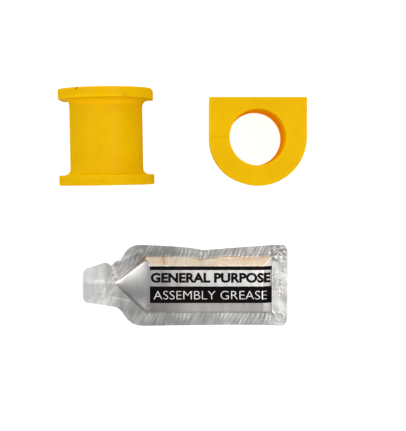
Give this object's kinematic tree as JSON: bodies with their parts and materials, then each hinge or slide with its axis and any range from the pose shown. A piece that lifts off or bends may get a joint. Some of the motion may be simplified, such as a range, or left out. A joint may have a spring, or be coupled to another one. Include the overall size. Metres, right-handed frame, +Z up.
{
  "type": "sway bar bush kit",
  "caption": "Flanged D-section sway bar bushes in yellow polyurethane, slit to open over the bar, with a heat-sealed foil sachet of bush grease.",
  "frame": {"origin": "middle of the kit's box, on the bench that the pieces lie on", "axes": "+Z up from the bench, along the upright bush's bore; +Y from the sachet towards the bushes; +X from the lying bush towards the upright one"},
  "size_m": [0.1086, 0.1078, 0.0425],
  "materials": {
    "polyurethane": "satin cast polyurethane, yellow",
    "printed_foil": "satin foil laminate printed in black",
    "foil": "satin foil laminate",
    "grease": "translucent grease"
  },
  "bodies": {
    "upright_bush": {"bush_upright": "polyurethane"},
    "lying_bush": {"bush_lying": "polyurethane"},
    "sachet": {"sachet_front_film": "printed_foil", "sachet_back_film": "foil", "sachet_grease": "grease"}
  },
  "joints": [
    {"name": "lying_bush_lift", "type": "slide", "parent": "upright_bush", "child": "lying_bush", "axis": [0, 0, 1], "range_m": [0, 0.06]},
    {"name": "sachet_lift", "type": "slide", "parent": "upright_bush", "child": "sachet", "axis": [0, 0, 1], "range_m": [0, 0.06]}
  ]
}
